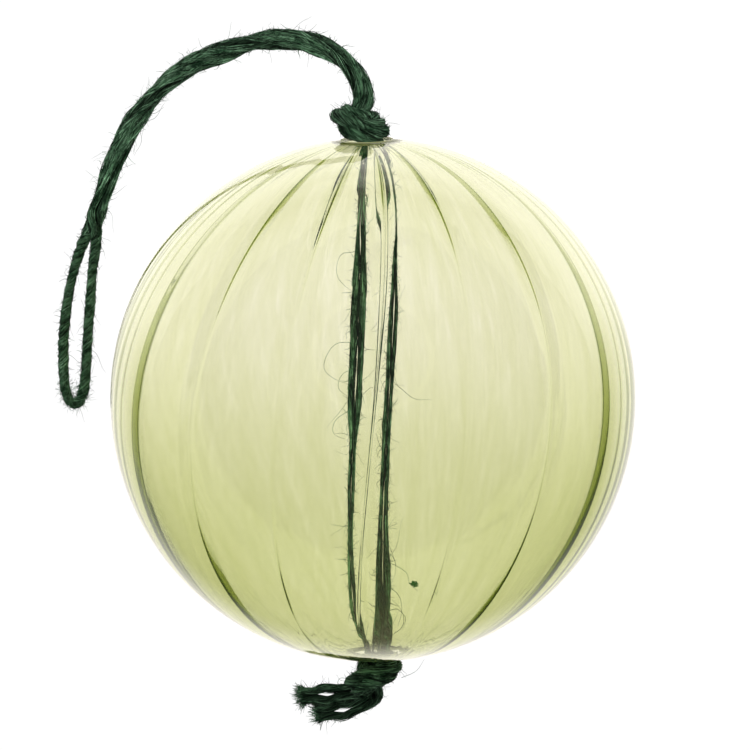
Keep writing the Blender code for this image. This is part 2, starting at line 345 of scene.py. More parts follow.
def wall_thickness(polar):
    """Thin at the top hole and thicker towards the bottom, but thinner again beside the hole there."""
    thicker = smooth((WALL_FROM - ORB_RADIUS * np.cos(polar)) / (WALL_FROM - WALL_TO))
    thinner = rise(-np.cos(polar), *THINNING_ZONE)
    return WALL_TOP + (WALL_BOTTOM - WALL_TOP) * thicker - WALL_THINNING * thinner


def zones(polar, azimuth):
    """How far each point lies in each zone of the orb, from 0 to 1, and how much its glass faces up."""
    zone = SimpleNamespace()
    zone.facing = np.sin(polar) * np.cos(azimuth)
    zone.shoulder = rise(polar, *SHOULDER_ZONE)
    least = FRONT_LEAST * (1 - zone.shoulder)
    zone.front = smooth((zone.facing - least) / (FRONT_FULL - least))
    zone.low = rise(-np.cos(polar), *LOW_ZONE)
    zone.middle = rise(np.cos(azimuth), *MIDDLE_ZONE)
    zone.sides = rise(-np.cos(azimuth), *SIDE_ZONE)
    zone.plain = rise(-np.cos(polar), *PLAIN_ZONE) * zone.middle
    return zone


def rib_height(away, zone):
    """How far the broad rises under the creases stand inwards."""
    strength = zone.front - (1 - RIB_MIDDLE) * rise(zone.facing, *RIB_MIDDLE_ZONE)
    peak = soft_peak(1 - np.sqrt(away**2 + RIB_POINT**2) / RIB_REACH, RIB_FOOT)
    rib = strength * (RIB_HEIGHT * peak + SWELL * (1 - np.sin(math.pi * away)))
    rib = rib * (1 - RIB_SHOULDER_LOSS * (1 - zone.shoulder) * zone.sides)
    rib = rib * (1 - RIB_LOW_LOSS * zone.low * zone.middle) * (1 - zone.plain)
    return rib + BACK_SWELL * (1 - zone.front) * (0.5 + 0.5 * np.cos(math.tau * away))


def ridge_height(away, polar, azimuth, zone):
    """How far the narrow rises on the ribs stand inwards: less round the equator and by the bottom hole."""
    upwards = np.cos(azimuth)
    belly = 1 - (BELLY_LOSS - BELLY_TILT * np.sin(azimuth)) * rise(np.sin(polar), *BELLY_ZONE)
    foot = 1 - FOOT_LOSS * rise(-np.cos(polar), *FOOT_ZONE) * rise(upwards, *FOOT_MIDDLE_ZONE)
    foot = foot * (1 + LOW_SIDE_GAIN * zone.low * zone.sides)
    least = RIDGE_LEAST * rise(zone.facing, *LEAST_RIDGE_ZONE)
    height = np.maximum(np.maximum(upwards, 0) ** RIDGE_POWER * belly, least)
    height = height * np.sin(polar) * foot * (1 - zone.plain)
    reach = RIDGE_BLUNT * (0.3 + 0.7 * upwards**2) * (1 + LOW_SIDE_WIDENING * zone.low * zone.sides)
    sharp = (1 - zone.low) * np.maximum(zone.facing, 0) ** 8 + zone.low * np.maximum(upwards, 0) ** 24
    reach = reach + (RIDGE_SHARP - reach) * sharp
    walked = away * math.tau / LOBES * ORB_RADIUS
    return RIDGE_SLOPE * height * reach * soft_peak(1 - walked / reach, RIDGE_FOOT)


def fine_height(turn, zone):
    """The fine ridges between the creases of the left and right edge."""
    fine = sum(np.maximum(1 - np.abs(turn - place) / FINE_REACH, 0) for place in FINE_RIDGES)
    return FINE_HEIGHT * fine * rise(zone.facing, *FINE_ZONE)


def drag_height(polar, around, zone):
    """Faint waves left by blowing, each with its own start and lean."""
    drag = sum(np.sin(around * n + 2.3 * i + (1.1 + 0.7 * i) * polar) for i, n in enumerate(DRAG_WAVES))
    return DRAG_HEIGHT * (1.1 - np.abs(zone.facing)) * drag


def surfaces(polar, turn):
    """Azimuth, outer and inner radius of the glass at these polar angles and turns, counted in lobes."""
    around = turn * math.tau / LOBES
    azimuth = crease_azimuth(polar, around)
    zone = zones(polar, azimuth)
    away = np.abs(turn - np.round(turn))
    fade = crease_fade(polar)
    crease = CREASE_DEPTH * fade * (1 - lobe_bulge(away))
    outer = ORB_RADIUS - crease + crease * PLAIN_FILLING * zone.plain
    relief = rib_height(away, zone) + ridge_height(away, polar, azimuth, zone) + fine_height(turn, zone)
    inner = outer - wall_thickness(polar) - fade * relief - drag_height(polar, around, zone)
    return azimuth, outer, inner


def shell_grid():
    """Turn in lobes and polar angle at each point of the shell; steps are denser towards the creases."""
    polar = np.linspace(RIM, math.pi - RIM, RINGS)[:, None]
    step = np.linspace(-1, 1, STEPS_PER_LOBE, endpoint=False)
    lobe = ((1 - CROWDING) * step + CROWDING * np.sign(step) * np.abs(step) ** CROWDING_POWER) / 2
    turn = (np.arange(LOBES)[:, None] + lobe[None, :]).ravel()[None, :]
    polar, turn = np.broadcast_arrays(polar, turn)
    return turn, polar


def shell_points(radius, polar, azimuth):
    """Points this far from the middle of the orb, whose pole axis runs along Y."""
    x = radius * np.sin(polar) * np.sin(azimuth)
    z = radius * np.sin(polar) * np.cos(azimuth)
    y = radius * np.cos(polar)
    return np.stack([x, y, z + REST_HEIGHT], -1)


def shell_faces(around):
    """Faces of the outside and the inside, and then of the rim of each hole."""
    inside = RINGS * around
    faces = []
    for ring in range(RINGS - 1):
        for step in range(around):
            a, b = ring * around + step, ring * around + (step + 1) % around
            c, d = b + around, a + around
            faces.append((a, d, c, b))
            faces.append((inside + a, inside + b, inside + c, inside + d))
    for ring, flip in ((0, False), (RINGS - 1, True)):
        for step in range(around):
            a, b = ring * around + step, ring * around + (step + 1) % around
            face = (a, b, inside + b, inside + a)
            faces.append(face if flip else face[::-1])
    return faces


def streak_way(turn, polar):
    """Where the streaks look up their noise: it changes fast round the orb and slowly from hole to hole."""
    angle = turn * math.tau / LOBES
    return np.stack([np.sin(angle), np.cos(angle), STREAK_SLOWNESS * polar], -1).reshape(-1, 3)


def make_orb():
    """The orb: its wall with the relief inside, the flat spot that it rests on, and the two ground rims."""
    turn, polar = shell_grid()
    azimuth, *radii = surfaces(polar, turn)
    outer, inner = (shell_points(radius, polar, azimuth) for radius in radii)
    # the wall keeps its thickness over the flat spot
    height = outer[..., 2].copy()
    outer[..., 2] = soft_peak(height, FLAT_EDGE**2)
    inner[..., 2] += outer[..., 2] - height
    verts = np.concatenate([outer.reshape(-1, 3), inner.reshape(-1, 3)])
    around = LOBES * STEPS_PER_LOBE
    mesh = new_mesh("orb_glass", verts.tolist(), shell_faces(around), glass_material(), ground_material())
    mesh.shade_smooth()
    note(mesh, "streak_way", "FLOAT_VECTOR", np.tile(streak_way(turn, polar), (2, 1)))
    for face in mesh.polygons[-2 * around:]:
        face.material_index = 1
    return placed("orb_glass", mesh)


# Materials

def fill(tree, node, inputs):
    """Set a node's inputs to values, or to what comes out of other nodes."""
    for name, value in inputs.items():
        if isinstance(value, bpy.types.NodeSocket):
            tree.links.new(value, node.inputs[name])
        else:
            node.inputs[name].default_value = value


def add_node(tree, kind, inputs=None, **settings):
    """A new shader node with its settings and inputs."""
    node = tree.nodes.new("ShaderNode" + kind)
    for name, value in settings.items():
        setattr(node, name, value)
    fill(tree, node, inputs or {})
    return node


def add_ramp(tree, value, *stops):
    """The colour for a value, from two stops with a place and a colour each."""
    ramp = add_node(tree, "ValToRGB", {0: value})
    for stop, (place, colour) in zip(ramp.color_ramp.elements, stops):
        stop.position = place
        stop.color = (*colour, 1)
    return ramp.outputs[0]


def multiplied(tree, first, second):
    """The product of two colours."""
    both = add_node(tree, "Mix", data_type="RGBA", blend_type="MULTIPLY")
    fill(tree, both, {"Factor": 1, 6: first, 7: second})
    return both.outputs[2]


def principled(name):
    """A new material, its node tree and its shader."""
    material = bpy.data.materials.new(name)
    material.use_nodes = True
    tree = material.node_tree
    return material, tree, tree.nodes["Principled BSDF"]


def streak_layer(tree, scale, detail, spread, colour):
    """Painted streaks from hole to hole in a colour, for the back ribs seen through the front wall; spread
    says between which noise values they fade out.
    """
    way = add_node(tree, "Attribute", attribute_name="streak_way").outputs["Vector"]
    grain = {"Vector": way, "Scale": scale, "Detail": detail, "Roughness": 0.6}
    noise = add_node(tree, "TexNoise", grain)
    return add_ramp(tree, noise.outputs[0], (spread[0], colour), (spread[1], (1, 1, 1)))


def see_through(tree, surface):
    """The surface, but clear to the light that falls on what is behind it and to rays near their end."""
    path = add_node(tree, "LightPath").outputs
    light = {0: path["Is Shadow Ray"], 1: path["Is Diffuse Ray"]}
    falling = add_node(tree, "Math", light, operation="MAXIMUM").outputs[0]
    depth = {0: path["Ray Depth"], 1: LAST_BOUNCE}
    late = add_node(tree, "Math", depth, operation="GREATER_THAN").outputs[0]
    either = add_node(tree, "Math", {0: falling, 1: late}, operation="MAXIMUM").outputs[0]
    clear = add_node(tree, "BsdfTransparent").outputs[0]
    return add_node(tree, "MixShader", {0: either, 1: surface, 2: clear}).outputs[0]


def glass_material():
    """Clear glass that is tinted in its depth, with faint streaks and thin paler threads painted into its
    colour: painted light for the back ribs seen through the front wall.
    """
    material, tree, shader = principled("green_glass")
    streaks = streak_layer(tree, STREAK_SCALE, 3, STREAK_SPREAD, STREAK_COLOUR)
    threads = streak_layer(tree, THREAD_SCALE, 1, THREAD_SPREAD, THREAD_COLOUR)
    fill(tree, shader, {
        "Base Color": multiplied(tree, streaks, threads),
        "Roughness": 0.0,
        "IOR": GLASS_IOR,
        "Transmission Weight": 1,
    })
    depth = add_node(tree, "VolumeAbsorption", {"Color": GLASS_TINT, "Density": TINT_DENSITY}).outputs[0]
    fill(tree, tree.nodes["Material Output"], {
        "Surface": see_through(tree, shader.outputs[0]),
        "Volume": depth,
    })
    return material


def ground_material():
    """The cut edge round each hole: ground, so it scatters what it lets through."""
    material, tree, shader = principled("ground_glass")
    noise = add_node(tree, "TexNoise", {"Scale": GROUND_GRAIN})
    fill(tree, shader, {
        "Base Color": add_ramp(tree, noise.outputs[0], (0, GROUND_DARK), (1, GROUND_LIGHT)),
        "Roughness": 0.5,
        "IOR": GLASS_IOR,
        "Transmission Weight": 0.6,
    })
    return material


def jute(name, colours, scale, along_ply):
    """Dyed jute: light and dark fibres side by side, which run along the ply where the piece says how."""
    dark, light = colours
    material, tree, shader = principled(name)
    if along_ply:
        place = add_node(tree, "Attribute", attribute_name="fibre_way").outputs["Vector"]
    else:
        place = add_node(tree, "TexCoord").outputs["Object"]
    grain = {"Vector": place, "Scale": scale, "Detail": 4, "Roughness": 0.65}
    noise = add_node(tree, "TexNoise", grain).outputs[0]
    fibres = add_ramp(tree, noise, (0.4, linear(*dark)), (0.62, linear(*light)))
    # the tone attribute carries painted shade: on the side of each ply that faces the other, and deep in the
    # knots and cut ends
    tone = add_node(tree, "Attribute", attribute_name="tone").outputs["Fac"]
    bump = add_node(tree, "Bump", {"Height": noise, "Distance": FIBRE_RELIEF}).outputs[0]
    fill(tree, shader, {
        "Base Color": multiplied(tree, fibres, tone),
        "Roughness": 0.85,
        "Specular IOR Level": 0.08,
        "Normal": bump,
    })
    return material


# Light, camera and the cards round the orb

def world():
    """Soft light from all round, white to the camera and brighter from the -Y side through the glass."""
    sky = bpy.data.worlds.new("studio")
    scene.world = sky
    sky.use_nodes = True
    tree = sky.node_tree
    path = add_node(tree, "LightPath").outputs
    way = add_node(tree, "TexCoord").outputs["Generated"]
    side = add_node(tree, "SeparateXYZ", {"Vector": way}).outputs["Y"]
    towards = {"Value": side, "From Min": SKY_FROM, "From Max": SKY_TO, "To Min": SKY, "To Max": SKY_SIDE}
    brighter = add_node(tree, "MapRange", towards).outputs[0]
    through_glass = {"Factor": path["Is Transmission Ray"], "A": SKY, "B": brighter}
    power = add_node(tree, "Mix", through_glass).outputs[0]
    soft = tree.nodes["Background"]
    fill(tree, soft, {"Color": WHITE, "Strength": power})
    white = add_node(tree, "Background", {"Color": WHITE, "Strength": SKY_SEEN})
    mix = add_node(tree, "MixShader", {0: path["Is Camera Ray"], 1: soft.outputs[0], 2: white.outputs[0]})
    fill(tree, tree.nodes["World Output"], {0: mix.outputs[0]})


def camera():
    """Looks down on the orb from a little towards its top hole, turned a little in its own view."""
    back = Vector((0, math.sin(VIEW_LEAN), math.cos(VIEW_LEAN)))
    level = Vector((1, 0, 0))
    ahead = Vector((0, math.cos(VIEW_LEAN), -math.sin(VIEW_LEAN)))
    right = level * math.cos(VIEW_ROLL) - ahead * math.sin(VIEW_ROLL)
    up = level * math.sin(VIEW_ROLL) + ahead * math.cos(VIEW_ROLL)
    lens = bpy.data.cameras.new("camera")
    lens.sensor_width = SENSOR
    lens.lens = SENSOR * ORB_IN_VIEW * math.sqrt(VIEW_DISTANCE**2 - ORB_RADIUS**2) / ORB_RADIUS
    lens.shift_x, lens.shift_y = VIEW_SHIFT
    lens.clip_start = 0.05
    viewer = placed("camera", lens)
    matrix = Matrix((right, up, back)).transposed().to_4x4()
    matrix.translation = Vector((0, 0, REST_HEIGHT)) + back * VIEW_DISTANCE
    viewer.matrix_world = matrix
    scene.camera = viewer


def side_lights():
    """A soft lamp on each side, for the twine alone: the glass does not show them."""
    for side in (-1, 1):
        lamp = bpy.data.lights.new("side_light", "AREA")
        lamp.shape = "RECTANGLE"
        lamp.size, lamp.size_y = LAMP_SIZE, LAMP_SIZE
        lamp.energy = LAMP_POWER
        light = placed("side_light", lamp)
        light.location = LAMP_PLACE
        light.location.x *= side
        aim = Vector(LAMP_AIM) - light.location
        light.rotation_euler = aim.to_track_quat("-Z", "Y").to_euler()
        light.visible_glossy = light.visible_transmission = light.visible_camera = False


def faded(tree, place, reach, strength, rest):
    """A strength that falls to a rest at these reaches along X and Y."""
    scaled = {"Vector": place, "Scale": (1 / reach[0], 1 / reach[1], 1)}
    shrunk = add_node(tree, "Mapping", scaled).outputs[0]
    ball = add_node(tree, "TexGradient", {"Vector": shrunk}, gradient_type="SPHERICAL").outputs["Fac"]
    fall = {"Value": ball, "From Max": EDGE_SOFTNESS, "To Min": rest, "To Max": strength}
    return add_node(tree, "MapRange", fall, interpolation_type="SMOOTHSTEP").outputs[0]


def cleared(tree, place, clearing, shine):
    """A card that is clear up to one place along its Y and full from another on."""
    along = add_node(tree, "SeparateXYZ", {"Vector": place}).outputs["Y"]
    edge = {"Value": along, "From Min": clearing[0], "From Max": clearing[1]}
    share = add_node(tree, "MapRange", edge, interpolation_type="SMOOTHSTEP").outputs[0]
    clear = add_node(tree, "BsdfTransparent").outputs[0]
    return add_node(tree, "MixShader", {0: share, 1: clear, 2: shine}).outputs[0]


def glow(name, colour, strength, reach=None, rest=0, clearing=None):
    """What a card shines with: evenly, or so that it falls to a rest at these reaches along X and Y."""
    material, tree, shader = principled(name)
    tree.nodes.remove(shader)
    place = add_node(tree, "TexCoord").outputs["Object"]
    if reach:
        strength = faded(tree, place, reach, strength, rest)
    shine = add_node(tree, "Emission", {"Color": (*colour, 1), "Strength": strength}).outputs[0]
    if clearing:
        shine = cleared(tree, place, clearing, shine)
    fill(tree, tree.nodes["Material Output"], {0: shine})
    return material


def card(name, middle, size, height, material, seen_by):
    """A flat card of the stage, seen by the camera, by what reflects it, or by all that it lights."""
    x, y = size[0] / 2, size[1] / 2
    corners = [(-x, -y, 0), (x, -y, 0), (x, y, 0), (-x, y, 0)]
    flat = placed(name, new_mesh(name, corners, [(0, 1, 2, 3)], material))
    flat.location = (*middle, height)
    flat.visible_camera = seen_by == "camera"
    flat.visible_glossy = seen_by == "reflections"
    flat.visible_diffuse = flat.visible_transmission = flat.visible_shadow = seen_by == "light"
    flat.visible_volume_scatter = False


def stage():
    """A white table for the camera, one that lights the glass from below, and cards that it reflects."""
    table = (6, 6)
    card("table", (0, 0), table, -0.0001, glow("table", (1, 1, 1), 1.03), "camera")
    card("lit_table", (0, 0), table, -0.0002, glow("lit_table", (1.0, 0.93, 0.98), 1.42), "light")
    card("room", (0, 0), table, 0.0005, glow("room", (1.0, 0.95, 0.9), 0.08), "reflections")
    near = glow("near", (1.0, 0.95, 0.93), 1.25, (0.2, 0.25), 0.1)
    card("near", (0, 0.04), (0.5, 0.5), 0.0008, near, "reflections")
    window = glow("window", (1.0, 0.96, 0.95), 1.7, (0.25, 0.1), 0.9, (-0.1, -0.02))
    card("window", (0, 0.08), (0.5, 0.2), 0.001, window, "reflections")


# The twine: two plies laid round each other, along one route through the ornament

def unit(v):
    """The same directions, each of length 1."""
    return v / np.linalg.norm(v, axis=-1, keepdims=True)


def walked_along(points):
    """How far along the line each of its points lies."""
    return np.concatenate([[0], np.cumsum(np.linalg.norm(np.diff(points, axis=0), axis=1))])


def resampled(points, count):
    """The same line as this many evenly spaced points."""
    walked = walked_along(points)
    at = np.linspace(0, walked[-1], count)
    return np.stack([np.interp(at, walked, column) for column in points.T], -1)


def respaced(points, step):
    """The same line with its points about a step apart."""
    return resampled(points, max(2, round(walked_along(points)[-1] / step)) + 1)


def through(points, step):
    """Points about step apart along a smooth curve through the given ones."""
    p = np.asarray(points, float)
    p = np.vstack([2 * p[0] - p[1], p, 2 * p[-1] - p[-2]])
    t = np.linspace(0, 1, 16, endpoint=False)[:, None]
    a, b, c, d = (p[i : len(p) - 3 + i, None, :] for i in range(4))
    curve = b + (c - a) * t / 2 + (2 * a - 5 * b + 4 * c - d) * t**2 / 2 + (3 * b - a - 3 * c + d) * t**3 / 2
    return respaced(np.vstack([curve.reshape(-1, 3), p[-2]]), step)


def smoothed(line, reach):
    """A line with its kinks worked out over this many points."""
    window = np.hanning(2 * reach + 3)
    window /= window.sum()
    padded = np.vstack([np.repeat(line[:1], reach + 1, 0), line, np.repeat(line[-1:], reach + 1, 0)])
    return np.stack([np.convolve(column, window, "valid") for column in padded.T], -1)


def eased(values, reach):
    """The same values with their steps softened over this many points."""
    return smoothed(np.asarray(values, float).reshape(len(values), -1), reach)


def wander(rng, count, waves, length):
    """A slow random wave of height about 1, for count points."""
    t = np.linspace(0, 1, count)
    total = np.zeros(count)
    for _ in range(waves):
        total += np.sin(math.tau * t * length * rng.uniform(0.3, 1.0) + rng.uniform(0, math.tau))
    return total / math.sqrt(waves / 2)


def frames(route):
    """Tangents of a line, and two directions across it that turn as little as they can."""
    along = unit(np.gradient(route, axis=0))
    side = np.empty_like(route)
    last = np.cross((0, 0, 1), along[0])
    for i, t in enumerate(along):
        last = last - last.dot(t) * t
        last = last / np.linalg.norm(last)
        side[i] = last
    return along, side, np.cross(along, side)


def pair_along(route, spread, start, turns):
    """Two lines beside a route, one on each side of it, that wind round it together."""
    along, side, up = frames(route)
    angle = (start + turns * math.tau * np.linspace(0, 1, len(route)))[:, None]
    turned = np.cos(angle) * side + np.sin(angle) * up
    return route + turned * spread, route - turned * spread


def knot_lines(centre, widths, roll):
    """Both strands through an overhand knot whose axis is along Y, from its -Y side to its +Y side."""
    half = []
    for turn, distance, rise_by in KNOT_HALF:
        angle = math.radians(turn)
        half.append((-distance * math.sin(angle), rise_by, distance * math.cos(angle)))
    x, y, z = np.array([(-x, -y, z) for x, y, z in half[:0:-1]] + half).T
    c, s = math.cos(math.radians(roll)), math.sin(math.radians(roll))
    spun = np.stack([c * x + s * z, y, c * z - s * x], -1)
    route = through((np.array(centre) + np.array(widths) * spun) * MM, KNOT_STEP)
    return pair_along(route, KNOT_SPREAD, math.pi / 2, 0)


def twine_route():
    """The stretches of the twine, from one end through both knots to the loop, and back to the other end."""
    low, high = knot_lines(**BOTTOM_KNOT), knot_lines(**TOP_KNOT)
    stem = through(np.array(STEM) * MM, STEM_STEP)
    out, back = pair_along(stem, LEG_SPREAD, STEM_START, STEM_TURNS)
    return [
        ("tail", np.array(UPPER_TAIL[::-1]) * MM),
        ("knot", low[0]),
        ("left", np.array(LEFT_STRAND[::-1]) * MM),
        ("knot", high[1]),
        ("stem", out),
        ("eye", np.array(EYE) * MM),
        ("stem", back[::-1]),
        ("knot", high[0][::-1]),
        ("right", np.array(RIGHT_STRAND) * MM),
        ("knot", low[1][::-1]),
        ("tail", np.array(LOWER_TAIL) * MM),
    ]


def twine_line():
    """The middle of the twine at even steps, and which stretch each of its points is in."""
    parts = twine_route()
    control = np.vstack([points for name, points in parts])
    walked = walked_along(control)
    line = smoothed(through(control, STEP), SMOOTHING)
    total = walked_along(line)[-1]
    steps = 4 * round(total / STEP / 4)
    line = respaced(line, total / steps)
    first, spans = 0, []
    for name, points in parts:
        last = first + len(points) - 1
        low = 0 if first == 0 else (walked[first] + walked[first - 1]) / 2
        high = walked[-1] if last == len(control) - 1 else (walked[last] + walked[last + 1]) / 2
        spans.append((name, round(low / walked[-1] * steps), round(high / walked[-1] * steps) + 1))
        first = last + 1
    return line, spans


def twine_piece(name, verts, faces, finish, tones, way=None):
    """A piece of twine. Tones say how light each vertex is, and way where its fibres look up their noise."""
    mesh = new_mesh(name, verts.tolist(), faces, finish)
    mesh.shade_smooth()
    note(mesh, "tone", "FLOAT", tones)
    if way is not None:
        note(mesh, "fibre_way", "FLOAT_VECTOR", way)
    return placed(name, mesh)


def tube_faces(rings, sides, first=0):
    """Faces of a closed tube whose verts go ring by ring, with one face for each end."""
    i, j = np.meshgrid(np.arange(rings - 1), np.arange(sides), indexing="ij")
    a = (i * sides + j).ravel()
    b = (i * sides + (j + 1) % sides).ravel()
    quads = np.stack([a, b, b + sides, a + sides], -1) + first
    start = list(range(first, first + sides))
    end = list(range(first + (rings - 1) * sides, first + rings * sides))
    return quads.tolist() + [start[::-1], end]


def held_turns(along, side, up, stretch):
    """How far the plies have turned at each point: they twist freely, or are held in a wanted direction."""
    turns = np.empty(len(along))
    now = 0
    for i, (hold, pitch, wanted) in enumerate(zip(stretch.hold, stretch.pitch, stretch.wanted)):
        now += (1 - hold) * math.tau * STEP / pitch
        aim = math.atan2(wanted.dot(up[i]), wanted.dot(side[i]))
        off = (aim - now + math.pi / 2) % math.pi - math.pi / 2
        now += HOLD_STEP * hold * off
        turns[i] = now
    return turns


def stretches(line, spans, along):
    """At each point, the plies' lay, how light they are, and how they wind or which way they are held."""
    count = len(line)
    at = SimpleNamespace(lay=np.zeros((count, 3)), tone=np.ones((count, 1)), hold=np.zeros(count))
    at.pitch = np.full(count, PLY_PITCH)
    at.wanted = np.tile((1.0, 0.0, 0.0), (count, 1))
    stems = [span for span in spans if span[0] == "stem"]
    for name, low, high in spans:
        here = slice(low, high)
        at.tone[here] = TONES_AND_SHADE[name]
        if name in LAYS:
            at.lay[here] = LAYS[name]
        if name in FLAT_WIDTHS:
            half = np.interp(line[here, 1] / MM, *zip(*FLAT_WIDTHS[name])) * MM
            # each ply fills its side of the width, up to a narrow gap
            at.lay[here] = np.stack([0.52 * half, 0.48 * half, np.full(len(half), FLAT_DEPTH)], -1)
        if name in HELD:
            at.hold[here] = 1
        if name == "tail":
            at.wanted[here] = np.cross(along[here], (0, 0, 1))
        if name == "knot":
            at.pitch[here] = KNOT_PITCH
        if name == "stem":
            _, first, last = stems[1] if low == stems[0][1] else stems[0]
            across = np.linspace(last - 1, first, high - low).round().astype(int)
            at.wanted[here] = np.cross(along[here], line[across] - line[here])
            at.tone[here, 0] = np.interp(line[here, 0] / MM, *zip(*STEM_TONES))
    at.lay = eased(at.lay, LAY_EASING)
    at.hold = eased(at.hold, HOLD_EASING)[:, 0]
    at.tone = eased(at.tone, TONE_EASING)
    return at


def ply_ridges(rng, theta, s, ply):
    """The bundles of fibres round a ply, as a share of its radius."""
    streaks = eased(rng.standard_normal((len(s), PLY_SIDES)), 5)
    walked = s[:, None]
    ridge = 1 + 0.06 * np.cos(5 * theta + walked * 700 + ply) + 0.05 * np.cos(7 * theta - walked * 300)
    return ridge + 0.12 * streaks


def make_twine(finish):
    """Two plies round one route; returns the piece, its route and what the fibres need to lie on it."""
    rng = np.random.default_rng(11)
    line, spans = twine_line()
    count = len(line)
    along, side, up = frames(line)
    at = stretches(line, spans, along)
    s = np.arange(count) * STEP
    total = s[-1]
    from_end = np.minimum(s, total - s)
    turn = held_turns(along, side, up, at)
    size = 1 + SIZE_CHANGE * wander(rng, count, 6, total / SIZE_WAVE)
    size *= 1 + FLARE * smooth((FLARE_REACH - from_end) / FLARE_REACH)
    spread = 1 + SPREAD_CHANGE * wander(rng, count, 6, total / SPREAD_WAVE)
    parting = OPENING * np.exp(-(((from_end - OPENING_PLACE) / OPENING_REACH) ** 2))
    away, deep, wide = at.lay[:, 0] * spread + parting, at.lay[:, 1] * size, at.lay[:, 2] * size
    theta = np.linspace(0, math.tau, PLY_SIDES, endpoint=False)
    verts, faces, ways, plies = [], [], [], []
    for ply in range(2):
        angle = (turn + ply * math.pi)[:, None]
        out = np.cos(angle) * side + np.sin(angle) * up
        centre = line + out * away[:, None]
        t = unit(np.gradient(centre, axis=0))
        out = unit(out - (out * t).sum(-1, keepdims=True) * t)
        across = np.cross(t, out)
        ridge = ply_ridges(rng, theta, s, ply)
        ring = centre[:, None] + (deep[:, None] * ridge * np.cos(theta))[..., None] * out[:, None]
        ring = ring + (wide[:, None] * ridge * np.sin(theta))[..., None] * across[:, None]
        ring[..., 2] = np.maximum(ring[..., 2], LEAST_HEIGHT)
        verts.append(ring.reshape(-1, 3))
        faces += tube_faces(count, PLY_SIDES, ply * count * PLY_SIDES)
        wound = theta[None, :] + FIBRE_TWIST * s[:, None]
        way = np.broadcast_arrays(np.cos(wound), np.sin(wound), s[:, None] * 60 + ply * 9)
        ways.append(np.stack(way, -1).reshape(-1, 3))
        plies.append((centre, out, across, deep, wide))
    # the side of a ply that faces the other one is in its shade
    shade = (at.tone * (0.25 + 0.75 * smooth((np.cos(theta) + 0.15) / 0.8))).ravel()
    thing = twine_piece("twine", np.vstack(verts), faces, finish, np.tile(shade, 2), np.vstack(ways))
    return thing, line, total, plies, at.tone[:, 0]


# The fibres of the twine

def hair_faces(count, points):
    """Faces of this many three-sided hairs, side by side, and then their two ends."""
    first = np.arange(count) * points * 3
    ring = (np.arange(points - 1) * 3)[None, :, None]
    corner = np.arange(3)[None, None, :]
    here = first[:, None, None] + ring + corner
    beside = first[:, None, None] + ring + (corner + 1) % 3
    quads = np.stack([here, beside, beside + 3, here + 3], -1).reshape(-1, 4)
    last = first + (points - 1) * 3
    starts = np.stack([first + 2, first + 1, first], -1)
    ends = np.stack([last, last + 1, last + 2], -1)
    return quads.tolist() + starts.tolist() + ends.tolist()


def hairs(name, paths, radius, tones, finish):
    """Thin three-sided fibres along these paths, each with a radius and a tone."""
    paths, radius, tones = np.array(paths), np.array(radius), np.array(tones)
    count, points, _ = paths.shape
    t = unit(np.gradient(paths, axis=1))
    a = unit(np.cross(t, np.broadcast_to(ANY_WAY, t.shape)))
    b = np.cross(t, a)
    taper = 1 - 0.6 * np.linspace(0, 1, points) ** 2
    r = (radius[:, None] * taper[None, :])[..., None]
    angles = [math.tau * k / 3 for k in range(3)]
    corners = [paths + (a * math.cos(angle) + b * math.sin(angle)) * r for angle in angles]
    verts = np.stack(corners, 2).reshape(-1, 3)
    verts[:, 2] = np.maximum(verts[:, 2], LEAST_HEIGHT)
    return twine_piece(name, verts, hair_faces(count, points), finish, np.repeat(tones, points * 3))


def lying_fibres(plies, tone, finish):
    """Fibres that lie on the plies and follow their twist."""
    rng = np.random.default_rng(5)
    share = np.linspace(0, 1, 8)
    paths, radius, tones = [], [], []
    for _ in range(LYING_FIBRES):
        centre, out, across, deep, wide = plies[rng.integers(2)]
        reach = rng.uniform(4, 12) * MM / STEP
        at = (rng.uniform(0, len(tone) - 1 - reach) + reach * share).astype(int)
        theta = rng.uniform(-OUTER_SIDE, OUTER_SIDE)
        theta = theta + rng.uniform(-LYING_TWIST, LYING_TWIST) * reach * STEP * share
        lift = 1.0 + rng.uniform(0, 0.3) * np.sin(math.pi * share) + rng.uniform(0, 0.12)
        place = centre[at] + (deep[at] * lift * np.cos(theta))[:, None] * out[at]
        paths.append(place + (wide[at] * lift * np.sin(theta))[:, None] * across[at])
        radius.append(rng.uniform(0.06, 0.12) * MM)
        tones.append(tone[at[0]] * (0.04 + 1.5 * rng.uniform(0, 1) ** 1.6))
    return hairs("twine_fibres", paths, radius, tones, finish)


def sprung(rng, plies, index, reach, most_turn, leans, points):
    """One hair that leaves a ply at this place and curls as it goes.

    It starts within the most turn of the ply's outer side, and its lean says how much it lies along the ply.
    """
    centre, out, across, deep, wide = plies[rng.integers(2)]
    theta = rng.uniform(-most_turn, most_turn)
    lean = rng.uniform(*leans)
    t = np.linspace(0, 1, points)[:, None]
    outwards, sideways = math.cos(theta) * out[index], math.sin(theta) * across[index]
    root = centre[index] + deep[index] * outwards + wide[index] * sideways
    ahead = centre[min(index + 1, len(centre) - 1)] - centre[max(index - 1, 0)]
    forward = unit(ahead) * rng.choice((-1, 1))
    start = unit((outwards + sideways) * (1 - lean) + forward * lean)
    bend, swing = unit(rng.standard_normal(3)), unit(rng.standard_normal(3))
    path = start * t + bend * 0.45 * t**2 + swing * 0.25 * np.sin(5 * t) * t
    return root - start * ROOT_DEPTH + reach * path


def fuzz(plies, tone, finish):
    """The short down all over the twine."""
    rng = np.random.default_rng(21)
    paths, tones = [], []
    for _ in range(SHORT_HAIRS):
        index = rng.integers(len(tone))
        reach = (0.35 + rng.gamma(1.6, 0.32)) * MM
        paths.append(sprung(rng, plies, index, reach, OUTER_SIDE, (0, 0.9), 5))
        tones.append(tone[index] * rng.uniform(0.3, 0.8))
    radius = rng.uniform(0.045, 0.08, len(paths)) * MM
    return hairs("short_fuzz", paths, radius, tones, finish)


